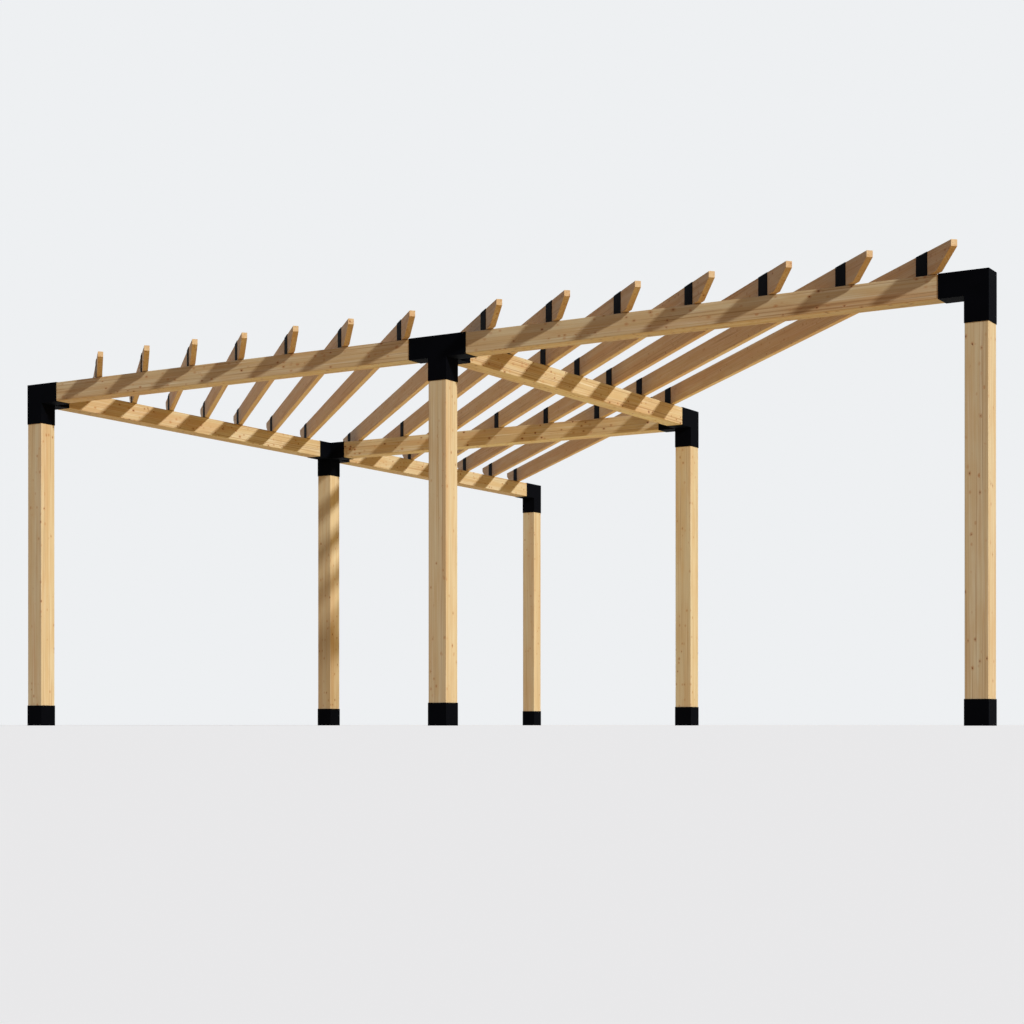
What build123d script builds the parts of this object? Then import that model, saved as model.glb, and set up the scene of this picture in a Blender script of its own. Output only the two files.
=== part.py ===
from build123d import *
import math
import os

# A triangular timber pergola on six square posts, roofed with parallel diagonal rafters.
# Origin: centre of the underside of the corner foot. +X runs along the front leg,
# +Y along the side leg, +Z up. Millimetres.

# Layout
bay = 3658.0                 # post centre to post centre along either leg (12 ft)
post_length = 2438.4         # sawn length of each post (8 ft)

# Timber sections
timber = 139.7               # side of the square posts and beams (dressed 6x6)
timber_arris = 4.0           # radius on the long edges of posts and beams
rafter_thickness = 38.1      # dressed 2x6
rafter_depth = 139.7
rafter_arris = 2.5           # radius on the long edges of a rafter

# Rafter tails
tail_overhang = 254.0        # past the beam's outer face, along the rafter
tail_nose = 38.1             # upright face at the very end
tail_run = 190.5             # level length of the sloping undercut

# Steel brackets
plate = 3.0                  # wall of every bracket
bracket_edge = 1.5           # radius on the outer corners of feet and top brackets
sleeve_length = 152.4        # grip of a top bracket on its post
arm_length = 152.4           # grip of a top bracket on a beam
foot_height = 152.4          # foot over all, its floor plate included
saddle_width = 102.0         # rafter saddle, measured across the beam it sits on
saddle_fold = 2.5            # outer radius of the two folds of a saddle

# Rafter set-out along the front leg: bare beam between a bracket's arm and the next
# saddle, and the spacing of the rafters' centrelines
bare_at_corner = 280.6
bare_before_middle = 18.5
bare_after_middle = 37.5
bare_at_end = 11.5
short_pitch = 446.0          # short rafters, from the corner on
last_short_pitch = 496.0     # between the last two short rafters
long_pitch = 500.0           # nearest even spacing of the long rafters

# Levels
post_top = plate + post_length
beam_bottom = post_top + plate
beam_middle = beam_bottom + timber / 2
beam_top = beam_bottom + timber
hub_top = beam_top + plate
rafter_bottom = beam_top + plate
sleeve_bottom = post_top - sleeve_length

# Plan sizes of the brackets
bracket_outer = timber + 2 * plate
hub_half = bracket_outer / 2
arm_end = hub_half + arm_length
saddle_outer = rafter_thickness + 2 * plate
saddle_reach = saddle_width / 2 + saddle_outer / math.sqrt(2)

# Plan directions, as steps in X and Y
RIGHT, LEFT, BACK, FRONT = (1, 0), (-1, 0), (0, 1), (0, -1)

# Each post: the steps of one bay that lead to it from the corner, and the directions of
# the beams that leave it
POSTS = {
    "corner": ((), (RIGHT, BACK)),
    "front_mid": ((RIGHT,), (LEFT, RIGHT, BACK)),
    "front_end": ((RIGHT, RIGHT), (LEFT,)),
    "side_mid": ((BACK,), (FRONT, BACK, RIGHT)),
    "side_end": ((BACK, BACK), (FRONT,)),
    "inner": ((RIGHT, BACK), (LEFT, FRONT)),
}

# Each beam: the post it starts from and its direction
BEAMS = {
    "front_near": ("corner", RIGHT),
    "front_far": ("front_mid", RIGHT),
    "side_near": ("corner", BACK),
    "side_far": ("side_mid", BACK),
    "inner_right": ("front_mid", BACK),
    "inner_left": ("side_mid", RIGHT),
}

# Beams with no saddle at the crossing nearest their first post: the rafter there is already
# held a step away, by its saddle on an outer beam
BARE_FIRST_CROSSING = ("inner_right", "inner_left")


def short_rafters():
    """Crossings in the first bay: an even run from the corner, then two set from the post."""
    last = bay - arm_end - bare_before_middle - saddle_reach
    before_last = last - last_short_pitch
    crossings = []
    place = arm_end + bare_at_corner + saddle_reach
    while place < before_last - short_pitch / 2:
        crossings.append(place)
        place += short_pitch
    return crossings + [before_last, last]


def long_rafters():
    """Crossings in the second bay, spread evenly between the middle and end posts."""
    first = bay + arm_end + bare_after_middle + saddle_reach
    last = 2 * bay - arm_end - bare_at_end - saddle_reach
    gaps = round((last - first) / long_pitch)
    return [first + (last - first) * i / gaps for i in range(gaps + 1)]


def plan_place(post_name):
    steps = POSTS[post_name][0]
    return bay * sum(across for across, back in steps), bay * sum(back for across, back in steps)


def facing(direction):
    """The turn about Z that carries +X to a plan direction."""
    return Rot(0, 0, math.degrees(math.atan2(direction[1], direction[0])))


def upright_block(side, bottom, top):
    """A square block centred on a post's axis, between two levels."""
    return Pos(0, 0, (bottom + top) / 2) * Box(side, side, top - bottom)


def arm_block(side, direction):
    """A square block at beam level, from a post's axis out to the end of a bracket's arm."""
    across, back = direction
    length_x = arm_end if across else side
    length_y = arm_end if back else side
    centre = Pos(across * arm_end / 2, back * arm_end / 2, beam_middle)
    return centre * Box(length_x, length_y, side)


def ease(solid, along, radius):
    """Round the edges of a solid that run along one axis."""
    return fillet(solid.edges().filter_by(along), radius)


def make_post():
    return ease(upright_block(timber, plate, post_top), Axis.Z, timber_arris)


def make_beam(direction):
    """A beam that butts the hubs of the brackets at its two ends."""
    beam = ease(Box(bay - bracket_outer, timber, timber), Axis.X, timber_arris)
    return facing(direction) * Pos(bay / 2, 0, beam_middle) * beam


def make_foot():
    """A square socket: four walls and the plate that the post stands on."""
    shell = ease(upright_block(bracket_outer, 0, foot_height), Axis.Z, bracket_edge)
    return shell - upright_block(timber, plate, foot_height)


def make_top_bracket(arms):
    """A socket over the post's head, capped by a hub with a square sleeve for each beam."""
    column = upright_block(bracket_outer, sleeve_bottom, hub_top)
    corners = column.edges().filter_by(Axis.Z) + column.edges().group_by(Axis.Z)[-1]
    bracket = fillet(corners, bracket_edge)
    for direction in arms:
        along = Axis.X if direction in (RIGHT, LEFT) else Axis.Y
        bracket += ease(arm_block(bracket_outer, direction), along, bracket_edge)
    bracket -= upright_block(timber, sleeve_bottom, beam_top)
    for direction in arms:
        bracket -= arm_block(timber, direction)
    return bracket


def make_rafter(crossing):
    """A board on edge across the corner, square to its diagonal, with undercut tails."""
    outer_face = math.sqrt(2) * (crossing + timber) / 2
    half = outer_face + tail_overhang
    heel = half - tail_run
    outline = Polyline(
        (-heel, 0), (heel, 0), (half, rafter_depth - tail_nose), (half, rafter_depth),
        (-half, rafter_depth), (-half, rafter_depth - tail_nose), close=True,
    )
    board = extrude(make_face(Plane.XZ * outline), rafter_thickness / 2, both=True)
    board = ease(board, Axis.X, rafter_arris)
    return Pos(crossing / 2, crossing / 2, rafter_bottom) * Rot(0, 0, -45) * board


def make_saddle(direction):
    """A folded channel under and beside a rafter, its ends parallel to the beam's sides."""
    wall = saddle_outer / 2
    hollow = rafter_thickness / 2
    height = plate + rafter_depth
    channel = Polyline(
        (-wall, height), (-wall, 0), (wall, 0), (wall, height),
        (hollow, height), (hollow, plate), (-hollow, plate), (-hollow, height), close=True,
    )
    section = make_face(Plane.YZ * channel)
    section = fillet(section.vertices().group_by(Axis.Z)[0], saddle_fold)
    length = 2 * saddle_reach
    folded = Rot(0, 0, -45) * extrude(section, length, both=True)
    beam_strip = facing(direction) * Pos(0, 0, height / 2) * Box(length, saddle_width, height)
    return folded & beam_strip


def crossings_on(beam_name):
    """Where the rafters cross a beam, as distances along it from its first post."""
    start, direction = BEAMS[beam_name]
    before = sum(plan_place(start))
    return [s - before for s in short_rafters() + long_rafters() if 0 < s - before < bay]


def make_saddles(beam_name):
    """One saddle on the beam's top at each rafter that crosses it, past a bare first crossing."""
    start, direction = BEAMS[beam_name]
    x, y = plan_place(start)
    saddle = make_saddle(direction)
    bare = 1 if beam_name in BARE_FIRST_CROSSING else 0
    solids = []
    for along in crossings_on(beam_name)[bare:]:
        place = Pos(x + direction[0] * along, y + direction[1] * along, beam_top)
        solids.append(place * saddle)
    return Compound(children=solids)


def save(shape, node):
    export_step(shape, os.path.join("parts", node + ".step"))


os.makedirs("parts", exist_ok=True)

post = make_post()
foot = make_foot()
for name, (steps, arms) in POSTS.items():
    x, y = plan_place(name)
    save(Pos(x, y, 0) * post, "post_" + name)
    save(Pos(x, y, 0) * foot, "foot_" + name)
    save(Pos(x, y, 0) * make_top_bracket(arms), "top_bracket_" + name)

for name, (start, direction) in BEAMS.items():
    x, y = plan_place(start)
    save(Pos(x, y, 0) * make_beam(direction), "beam_" + name)
    save(make_saddles(name), "rafter_saddles_" + name)

for number, crossing in enumerate(short_rafters() + long_rafters(), start=1):
    save(make_rafter(crossing), f"rafter_{number:02d}")
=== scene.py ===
"""Looks of the wooden pergola: finishes, floor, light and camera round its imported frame, in metres."""

import math
import random

import bpy
from mathutils import Matrix, Vector


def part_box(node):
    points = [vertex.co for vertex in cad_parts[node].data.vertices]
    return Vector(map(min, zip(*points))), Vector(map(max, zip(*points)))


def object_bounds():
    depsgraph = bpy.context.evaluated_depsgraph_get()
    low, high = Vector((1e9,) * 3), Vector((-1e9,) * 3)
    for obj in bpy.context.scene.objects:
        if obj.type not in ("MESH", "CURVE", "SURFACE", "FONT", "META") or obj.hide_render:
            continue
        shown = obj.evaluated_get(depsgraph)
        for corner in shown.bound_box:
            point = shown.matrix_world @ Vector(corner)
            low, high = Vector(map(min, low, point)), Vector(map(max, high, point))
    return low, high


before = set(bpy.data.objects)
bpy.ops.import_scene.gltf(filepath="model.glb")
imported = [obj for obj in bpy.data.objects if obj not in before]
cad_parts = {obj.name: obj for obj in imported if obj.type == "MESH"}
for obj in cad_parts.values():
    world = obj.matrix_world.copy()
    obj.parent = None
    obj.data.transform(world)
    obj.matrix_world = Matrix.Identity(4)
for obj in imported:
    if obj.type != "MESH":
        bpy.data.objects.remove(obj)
cad_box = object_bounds()

# The photograph's viewpoint: level, with the lens shifted up. The photograph was taken from about
# 50 mm lower, but from there the floor would hide the object
CAMERA_PLACE = (10.8772, -10.9953, 0.005)
CAMERA_TURN_DEG = 31.286
CAMERA_LENS_MM = 69.440
CAMERA_SHIFT_UP = 0.2079
NEAREST_SEEN = 0.01

# Key light from the right of the front leg. At strength 1 a white card square to it renders white
SUN_DIRECTION = (2.9, -1.0, 1.41)
SUN_STRENGTH = 0.99
SUN_WIDTH_DEG = 3.0
SUN_COLOR = "#FDFFFE"

# Soft light all round: warm from the side that WARM_SIDE points to, and cool from the other. They
# blend where the dot product of WARM_SIDE with the way looked is within WARM_BLEND of zero
WARM_SIDE = (0.55, 0.25, -0.8)
WARM_BLEND = 0.3
WARM_LIGHT = "#BA975E"
COOL_LIGHT = "#7B7783"

# A square panel just above the floor and as wide as the object, for the light from below
BOUNCE_HEIGHT = 0.01
BOUNCE_COLOR = "#FFFCBC"
BOUNCE_STRENGTH = 0.35
BOUNCE_SPREAD_DEG = 120.0

# The floor glows a little where it is seen, and it reaches out to the horizon
BACKDROP = "#EEF0F2"
FLOOR_PAINT = "#E3E5E5"
FLOOR_GLOW = 0.42
FLOOR_REACH = 4000.0

# Fir's growth rings are 3 to 5 mm apart and its fibres under 0.1 mm wide. Both are coarser here,
# to show from 12 m away
RING_MM = 10.0
FIBRE_MM = 5.0

# Each of these patterns of streaks along the grain is the length and width of a streak in metres,
# then the noise levels at which it starts and is whole
FIBRES = (0.5, FIBRE_MM / 1000, 0.3, 0.7)
HAIRLINES = (1.2, 0.009, 0.60, 0.70)
UNEVEN_RINGS = (4.0, 0.040, 0.2, 0.8)
CLEAR_RINGS = (1.5, 0.080, 0.3, 0.7)
KNOT_GROUPS = (0.4, 0.200, 0.40, 0.65)

# The latewood of a ring, as places from one ring's start to its end: it darkens slowly, stops
# sharply, and is never fainter than FAINTEST_RING
LATEWOOD_STARTS = 0.3
LATEWOOD_DARKEST = 0.88
LATEWOOD_STOPS = 0.9
FAINTEST_RING = 0.15

# How far the pith strays, how often in a metre along the timber and across it, and how far from
# the timber's middle it lies, to the side and below or above
PITH_STRAYS = (0.0, 0.03, 0.03)
STRAYS_PER_METRE = (0.7, 4.0, 4.0)
PITH_ASIDE = 0.06
PITH_AWAY = (0.05, 0.16)

# Planed fir is pale straw. Over it, in this order, lie streaks with their colours and depths
STRAW = "#D8CBA9"
STREAKS = (
    ((2.5, 0.040, 0.30, 0.70), "#CCB182", 0.80),
    ((0.3, 0.060, 0.40, 0.70), "#CBAB7C", 0.55),
    ((1.4, 0.080, 0.45, 0.75), "#CBA47A", 0.60),
    ((1.2, 0.014, 0.55, 0.80), "#BD9060", 0.50),
    ((0.6, 0.012, 0.55, 0.75), "#E6DBBE", 0.70),
)
FIBRE_COLOR, FIBRE_DEPTH = "#C2A675", 0.4
LATEWOOD_COLOR, LATEWOOD_DEPTH = "#B08A58", 0.35
HAIRLINE_COLOR, HAIRLINE_DEPTH = "#94653A", 0.5
KNOT_RIM_COLOR, KNOT_RIM_DEPTH = "#AC6C38", 0.6
KNOT_HEART_COLOR = "#55290F"

# Fir is satin at most: smoother along the paler fibres and over a knot's heart
FIR_ROUGHNESS = (0.56, 0.68)
HEART_SMOOTHER = 0.14
FIR_GLOSS = 0.15
FIR_RELIEF = 0.0004
RING_RELIEF = 0.6

# Pin knots: one at most in a cell of this size, which is longer along the grain
KNOT_CELL = 0.036
KNOT_SQUEEZE = (0.65, 1.0, 1.0)
SMALLEST_KNOT = 0.35            # as a share of the widest
FAINTEST_KNOT = 0.5
MORE_IN_A_GROUP = 0.5           # share of the cells that hold a knot only in a group
HEART_EDGE = (0.0007, -0.001)   # past the heart's edge, where it starts to show and is whole
RIM_WIDTH = 0.009
RIM_SWERVE = 0.005              # how far the grain bends round a heart

# The beams are cut from knottier, more figured timber than the posts, and the rafters from redder
# boards. FIGURE deepens the streaks and rings, and KNOTS is the share of the cells that hold a
# knot outside the groups
FIGURE = {"post": 0.75, "beam": 1.1, "rafter": 0.75}
KNOTS = {"post": 0.1, "beam": 0.35, "rafter": 0.3}
WIDEST_KNOT_MM = {"post": 8.0, "beam": 17.0, "rafter": 9.0}
TINT = {"post": "#FFFFFF", "beam": "#FFFFFF", "rafter": "#FFF1E6"}

# How far apart in the pattern two timbers may be cut, and how pale or dark one may be
CUT_FROM = 40
TONES = (0.97, 1.03)

# Orange peel is the ripple of a baked coat, here at its real size. Dust dulls the coat in patches
ORANGE_PEEL_MM = 2.5
PEEL_RELIEF = 0.00015
PATCHES_PER_METRE = 11.0
CLEAN_COAT = "#040507"
DUSTY_COAT = "#090A0F"
COAT_ROUGHNESS = (0.6, 0.75)
COAT_GLOSS = 0.012

MATH = "ShaderNodeMath"
VECTOR_MATH = "ShaderNodeVectorMath"
MAPPING = "ShaderNodeMapping"
NOISE = "ShaderNodeTexNoise"
MAP_RANGE = "ShaderNodeMapRange"
MIX = "ShaderNodeMix"
BUMP = "ShaderNodeBump"
COORDINATES = "ShaderNodeTexCoord"


def linear(code):
    """An sRGB hex colour as linear RGBA."""
    parts = [int(code[i:i + 2], 16) / 255 for i in (1, 3, 5)]
    return tuple(c / 12.92 if c <= 0.04045 else ((c + 0.055) / 1.055) ** 2.4 for c in parts) + (1.0,)


def add(tree, kind, feeds=None, **settings):
    """Adds a node with its settings.

    An input named in feeds takes a value, a socket, or a node's first output.
    """
    made = tree.nodes.new(kind)
    for name, value in settings.items():
        setattr(made, name, value)
    for name, value in (feeds or {}).items():
        if isinstance(value, bpy.types.Node):
            value = value.outputs[0]
        if isinstance(value, bpy.types.NodeSocket):
            tree.links.new(value, made.inputs[name])
        else:
            made.inputs[name].default_value = value
    return made


def streaks(tree, place, pattern, detail=2.0):
    """Soft streaks along the grain, from 0 where the noise is low to 1 where it is high."""
    length, width, low, high = pattern
    drawn = add(tree, MAPPING, {"Vector": place, "Scale": (1 / length, 1 / width, 1 / width)})
    noise = add(tree, NOISE, {"Vector": drawn, "Scale": 1.0, "Detail": detail})
    levels = {"Value": noise, "From Min": low, "From Max": high}
    return add(tree, MAP_RANGE, levels, interpolation_type="SMOOTHSTEP")


def pin_knots(tree, place, plenty, widest):
    """Pin knots, singly and in groups: the dark heart of each, and the darker grain round it."""
    squeezed = add(tree, MAPPING, {"Vector": place, "Scale": KNOT_SQUEEZE})
    cells = add(tree, "ShaderNodeTexVoronoi", {"Vector": squeezed, "Scale": 1 / KNOT_CELL})
    chance = add(tree, "ShaderNodeSeparateColor", {0: cells.outputs["Color"]}).outputs
    distance = add(tree, MATH, {0: cells.outputs["Distance"], 1: KNOT_CELL}, operation="MULTIPLY")
    sizes = {"Value": chance[1], "To Min": SMALLEST_KNOT / 2, "To Max": 1 / 2}
    radius = add(tree, MAP_RANGE, sizes)
    radius = add(tree, MATH, {0: radius, 1: widest}, operation="MULTIPLY")
    beyond = add(tree, MATH, {0: distance, 1: radius}, operation="SUBTRACT")

    group = streaks(tree, place, KNOT_GROUPS)
    share = add(tree, MATH, {0: group, 1: MORE_IN_A_GROUP, 2: plenty}, operation="MULTIPLY_ADD")
    there = add(tree, MATH, {0: chance[0], 1: share}, operation="LESS_THAN")
    depth = add(tree, MAP_RANGE, {"Value": chance[2], "To Min": FAINTEST_KNOT, "To Max": 1.0})
    there = add(tree, MATH, {0: there, 1: depth}, operation="MULTIPLY")

    edge = {"Value": beyond, "From Min": HEART_EDGE[0], "From Max": HEART_EDGE[1]}
    heart = add(tree, MAP_RANGE, edge)
    heart = add(tree, MATH, {0: heart, 1: there}, operation="MULTIPLY")
    fade = {"Value": beyond, "From Min": RIM_WIDTH, "From Max": 0.0}
    rim = add(tree, MAP_RANGE, fade, interpolation_type="SMOOTHSTEP")
    rim = add(tree, MATH, {0: rim, 1: there}, operation="MULTIPLY")
    return heart, rim


def growth_rings(tree, place, draw, pith):
    """Thin bands of latewood round a pith that strays a little."""
    stray = add(tree, MAPPING, {"Vector": draw, "Scale": STRAYS_PER_METRE})
    stray = add(tree, NOISE, {"Vector": stray, "Scale": 1.0, "Detail": 1.0}).outputs["Color"]
    stray = add(tree, VECTOR_MATH, {0: stray, 1: (0.5, 0.5, 0.5)}, operation="SUBTRACT")
    stray = add(tree, VECTOR_MATH, {0: stray, 1: PITH_STRAYS}, operation="MULTIPLY")
    across = add(tree, VECTOR_MATH, {0: place, 1: (0.0, 1.0, 1.0)}, operation="MULTIPLY")
    across = add(tree, VECTOR_MATH, {0: across, 1: stray}, operation="ADD")
    across = add(tree, VECTOR_MATH, {0: across, 1: pith}, operation="SUBTRACT")
    out = add(tree, VECTOR_MATH, {0: across}, operation="LENGTH").outputs["Value"]

    uneven = streaks(tree, draw, UNEVEN_RINGS)
    count = add(tree, MATH, {0: out, 1: 1000 / RING_MM, 2: uneven}, operation="MULTIPLY_ADD")
    part = add(tree, MATH, {0: count}, operation="FRACT")
    darkening = {"Value": part, "From Min": LATEWOOD_STARTS, "From Max": LATEWOOD_DARKEST}
    rise = add(tree, MAP_RANGE, darkening, interpolation_type="SMOOTHSTEP")
    fall = add(tree, MAP_RANGE, {"Value": part, "From Min": 1.0, "From Max": LATEWOOD_STOPS})
    band = add(tree, MATH, {0: rise, 1: fall}, operation="MULTIPLY")
    clear = streaks(tree, draw, CLEAR_RINGS)
    strength = add(tree, MAP_RANGE, {"Value": clear, "To Min": FAINTEST_RING})
    return add(tree, MATH, {0: band, 1: strength}, operation="MULTIPLY")


def lay_over(tree, under, code, share, amount):
    """Covers a colour with a hex colour, by a share that varies from place to place."""
    share = add(tree, MATH, {0: share, 1: amount}, operation="MULTIPLY")
    return add(tree, MIX, {0: share, 6: under, 7: linear(code)}, data_type="RGBA").outputs[2]


def fir_pattern():
    """The solid pattern of fir, shared by every timber: rings, streaks and pin knots."""
    tree = bpy.data.node_groups.new("fir_pattern", "ShaderNodeTree")
    inputs = {
        "Place": "Vector", "Pith": "Vector", "Draw": "Vector", "Figure": "Float",
        "Knots": "Float", "Widest Knot": "Float", "Tint": "Color", "Tone": "Float",
    }
    outputs = {"Color": "Color", "Roughness": "Float", "Height": "Float"}
    for name, kind in inputs.items():
        tree.interface.new_socket(name, in_out="INPUT", socket_type="NodeSocket" + kind)
    for name, kind in outputs.items():
        tree.interface.new_socket(name, in_out="OUTPUT", socket_type="NodeSocket" + kind)
    given = add(tree, "NodeGroupInput").outputs

    draw = add(tree, VECTOR_MATH, {0: given["Place"], 1: given["Draw"]}, operation="ADD")
    heart, rim = pin_knots(tree, draw, given["Knots"], given["Widest Knot"])
    swerve = add(tree, VECTOR_MATH, {0: (0.0, 1.0, 1.0), 3: rim}, operation="SCALE")
    swerve = add(tree, VECTOR_MATH, {0: swerve, 3: RIM_SWERVE}, operation="SCALE")
    bent = add(tree, VECTOR_MATH, {0: draw, 1: swerve}, operation="ADD")
    centred = add(tree, VECTOR_MATH, {0: given["Place"], 1: swerve}, operation="ADD")
    rings = growth_rings(tree, centred, draw, given["Pith"])
    fibres = streaks(tree, bent, FIBRES, detail=3.0)
    hairlines = streaks(tree, bent, HAIRLINES, detail=1.0)

    layers = [(streaks(tree, bent, pattern), code, depth) for pattern, code, depth in STREAKS]
    layers.append((fibres, FIBRE_COLOR, FIBRE_DEPTH))
    layers.append((rings, LATEWOOD_COLOR, LATEWOOD_DEPTH))
    layers.append((hairlines, HAIRLINE_COLOR, HAIRLINE_DEPTH))
    wood = linear(STRAW)
    for share, code, depth in layers:
        amount = add(tree, MATH, {0: given["Figure"], 1: depth}, operation="MULTIPLY")
        wood = lay_over(tree, wood, code, share, amount)
    wood = lay_over(tree, wood, KNOT_RIM_COLOR, rim, KNOT_RIM_DEPTH)
    wood = lay_over(tree, wood, KNOT_HEART_COLOR, heart, 1.0)
    tinted = {0: 1.0, 6: wood, 7: given["Tint"]}
    wood = add(tree, MIX, tinted, data_type="RGBA", blend_type="MULTIPLY").outputs[2]
    wood = add(tree, "ShaderNodeHueSaturation", {"Value": given["Tone"], "Color": wood})

    smooth, rough = FIR_ROUGHNESS
    rough = add(tree, MAP_RANGE, {"Value": fibres, "To Min": smooth, "To Max": rough})
    rough = add(tree, MATH, {0: heart, 1: -HEART_SMOOTHER, 2: rough}, operation="MULTIPLY_ADD")
    height = add(tree, MATH, {0: rings, 1: RING_RELIEF, 2: fibres}, operation="MULTIPLY_ADD")
    add(tree, "NodeGroupOutput", {"Color": wood, "Roughness": rough, "Height": height})
    return tree


def planed_fir(node, pattern):
    """Planed, kiln-dried fir: pale straw wood, satin at most, with its grain along the timber."""
    low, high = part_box(node)
    size = high - low
    kind = node.split("_")[0]
    if kind == "rafter":
        along = Vector((1, -1, 0)).normalized()
    else:
        along = Vector([float(length == max(size)) for length in size])
    side = Vector((1, 0, 0)) if along.z else Vector((0, 0, 1))
    turn = Matrix((along, side.cross(along), side))
    draw = random.Random(node)
    aside = draw.uniform(-PITH_ASIDE, PITH_ASIDE)
    away = draw.choice((-1, 1)) * draw.uniform(*PITH_AWAY)

    material = bpy.data.materials.new("planed_fir_" + node)
    material.use_nodes = True
    tree = material.node_tree
    shader = tree.nodes["Principled BSDF"]
    place = add(tree, COORDINATES).outputs["Object"]
    centre = turn @ ((low + high) / -2)
    place = add(tree, MAPPING, {"Vector": place, "Location": centre, "Rotation": turn.to_euler()})
    wood = add(tree, "ShaderNodeGroup", node_tree=pattern)
    tree.links.new(place.outputs[0], wood.inputs["Place"])
    wood.inputs["Pith"].default_value = (0, aside, away)
    wood.inputs["Draw"].default_value = [draw.uniform(-CUT_FROM, CUT_FROM) for _ in range(3)]
    wood.inputs["Tone"].default_value = draw.uniform(*TONES)
    wood.inputs["Figure"].default_value = FIGURE[kind]
    wood.inputs["Knots"].default_value = KNOTS[kind]
    wood.inputs["Widest Knot"].default_value = WIDEST_KNOT_MM[kind] / 1000
    wood.inputs["Tint"].default_value = linear(TINT[kind])
    relief = {"Height": wood.outputs["Height"], "Strength": 0.6, "Distance": FIR_RELIEF}
    bump = add(tree, BUMP, relief)
    tree.links.new(wood.outputs["Color"], shader.inputs["Base Color"])
    tree.links.new(wood.outputs["Roughness"], shader.inputs["Roughness"])
    tree.links.new(bump.outputs[0], shader.inputs["Normal"])
    shader.inputs["Specular IOR Level"].default_value = FIR_GLOSS
    return material


def powder_coated_steel():
    """Black polyester powder on folded steel: matt and near black, with the orange peel of a baked coat."""
    material = bpy.data.materials.new("powder_coated_steel")
    material.use_nodes = True
    tree = material.node_tree
    shader = tree.nodes["Principled BSDF"]
    place = add(tree, COORDINATES).outputs["Object"]
    peel = add(tree, NOISE, {"Vector": place, "Scale": 1000 / ORANGE_PEEL_MM, "Detail": 2.0})
    dust = add(tree, NOISE, {"Vector": place, "Scale": PATCHES_PER_METRE, "Detail": 4.0})
    coats = {0: dust, 6: linear(CLEAN_COAT), 7: linear(DUSTY_COAT)}
    coat = add(tree, MIX, coats, data_type="RGBA").outputs[2]
    smooth, rough = COAT_ROUGHNESS
    rough = add(tree, MAP_RANGE, {"Value": dust, "To Min": smooth, "To Max": rough})
    bump = add(tree, BUMP, {"Height": peel, "Strength": 0.5, "Distance": PEEL_RELIEF})
    tree.links.new(coat, shader.inputs["Base Color"])
    tree.links.new(rough.outputs[0], shader.inputs["Roughness"])
    tree.links.new(bump.outputs[0], shader.inputs["Normal"])
    shader.inputs["Specular IOR Level"].default_value = COAT_GLOSS
    return material


def give_finishes():
    """Fir on the posts, beams and rafters, and powder coat on the brackets, feet and saddles."""
    pattern = fir_pattern()
    steel = powder_coated_steel()
    for name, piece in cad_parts.items():
        saddles = name.startswith("rafter_saddles")
        timber = name.startswith(("post_", "beam_", "rafter_")) and not saddles
        piece.data.materials.clear()
        piece.data.materials.append(planed_fir(name, pattern) if timber else steel)


def seen_directly(tree):
    """1 for rays that show a thing, straight or in a reflection, and 0 for those that light it."""
    rays = add(tree, "ShaderNodeLightPath").outputs
    views = {0: rays["Is Camera Ray"], 1: rays["Is Glossy Ray"]}
    seen = add(tree, MATH, views, operation="MAXIMUM")
    return add(tree, MATH, {0: seen, 1: rays["Is Transmission Ray"]}, operation="MAXIMUM")


def hang_the_sun():
    """The key light, which casts the rafters' shadows on the beams."""
    sun = bpy.data.lights.new("key", "SUN")
    sun.energy = SUN_STRENGTH * math.pi
    sun.angle = math.radians(SUN_WIDTH_DEG)
    sun.color = linear(SUN_COLOR)[:3]
    lamp = bpy.data.objects.new("key", sun)
    lamp.rotation_euler = Vector(SUN_DIRECTION).to_track_quat("Z", "Y").to_euler()
    bpy.context.scene.collection.objects.link(lamp)


def lay_the_panel():
    """A warm panel that faces up and lights the undersides."""
    bounce = bpy.data.lights.new("bounce", "AREA")
    bounce.size = max(cad_box[1].x, cad_box[1].y)
    bounce.energy = BOUNCE_STRENGTH * math.pi * bounce.size ** 2
    bounce.color = linear(BOUNCE_COLOR)[:3]
    bounce.spread = math.radians(BOUNCE_SPREAD_DEG)
    panel = bpy.data.objects.new("bounce", bounce)
    panel.location = (bounce.size / 2, bounce.size / 2, BOUNCE_HEIGHT)
    panel.rotation_euler.x = math.pi
    panel.visible_camera = False
    bpy.context.scene.collection.objects.link(panel)


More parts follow.
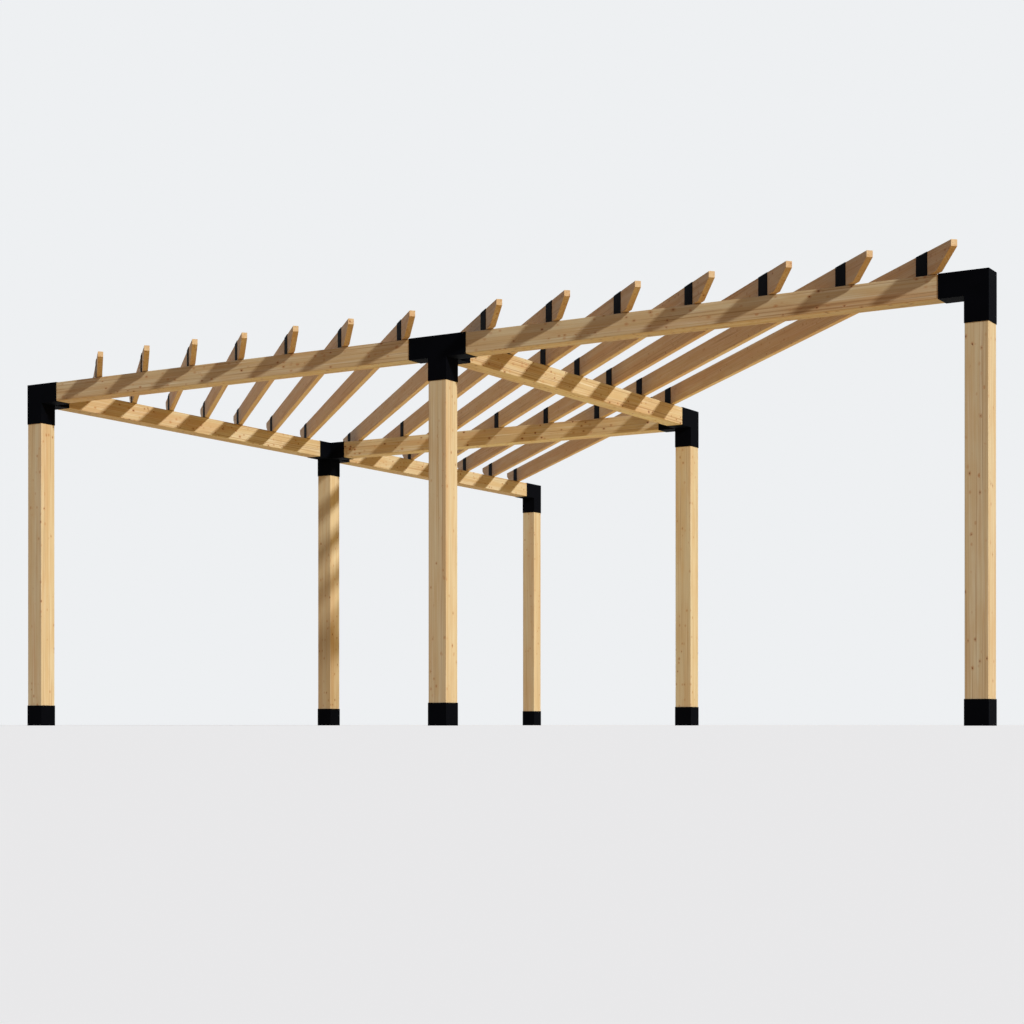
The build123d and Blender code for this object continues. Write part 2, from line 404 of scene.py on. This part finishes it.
def light_all_round():
    """Soft light from everywhere, with a plain pale backdrop where the camera sees past the object."""
    world = bpy.data.worlds.new("studio")
    world.use_nodes = True
    bpy.context.scene.world = world
    tree = world.node_tree
    way = add(tree, COORDINATES).outputs["Generated"]
    facing = add(tree, VECTOR_MATH, {0: way, 1: WARM_SIDE}, operation="DOT_PRODUCT")
    blend = {"Value": facing.outputs["Value"], "From Min": -WARM_BLEND, "From Max": WARM_BLEND}
    share = add(tree, MAP_RANGE, blend, interpolation_type="SMOOTHSTEP")
    lights = {0: share, 6: linear(COOL_LIGHT), 7: linear(WARM_LIGHT)}
    light = add(tree, MIX, lights, data_type="RGBA").outputs[2]
    sights = {0: seen_directly(tree), 6: light, 7: linear(BACKDROP)}
    shown = add(tree, MIX, sights, data_type="RGBA")
    tree.links.new(shown.outputs[2], tree.nodes["Background"].inputs["Color"])


def lay_the_floor():
    """A plain pale floor that takes the object's shadow. The light from below passes it."""
    mesh = bpy.data.meshes.new("floor")
    corners = [(x * FLOOR_REACH, y * FLOOR_REACH, 0) for x, y in ((-1, -1), (1, -1), (1, 1), (-1, 1))]
    mesh.from_pydata(corners, [], [(0, 1, 2, 3)])
    floor = bpy.data.objects.new("floor", mesh)
    floor.visible_diffuse = False
    floor.visible_shadow = False
    material = bpy.data.materials.new("painted_floor")
    material.use_nodes = True
    tree = material.node_tree
    paint = add(tree, "ShaderNodeBsdfDiffuse", {"Color": linear(FLOOR_PAINT)})
    glow = add(tree, "ShaderNodeEmission", {"Color": linear(FLOOR_PAINT), "Strength": FLOOR_GLOW})
    both = add(tree, "ShaderNodeAddShader", {0: paint, 1: glow})
    shown = add(tree, "ShaderNodeMixShader", {0: seen_directly(tree), 1: paint, 2: both})
    tree.links.new(shown.outputs[0], tree.nodes["Material Output"].inputs["Surface"])
    mesh.materials.append(material)
    bpy.context.scene.collection.objects.link(floor)


def place_the_camera():
    """A level camera with its lens shifted up, so that the posts stay upright in the picture."""
    lens = bpy.data.cameras.new("camera")
    lens.lens = CAMERA_LENS_MM
    lens.shift_y = CAMERA_SHIFT_UP
    lens.clip_start = NEAREST_SEEN
    lens.clip_end = 4 * FLOOR_REACH
    camera = bpy.data.objects.new("camera", lens)
    camera.location = CAMERA_PLACE
    camera.rotation_euler = (math.radians(90), 0, math.radians(CAMERA_TURN_DEG))
    bpy.context.scene.collection.objects.link(camera)
    bpy.context.scene.camera = camera


give_finishes()
hang_the_sun()
lay_the_panel()
light_all_round()
lay_the_floor()
place_the_camera()
bpy.context.scene.view_settings.view_transform = "Standard"
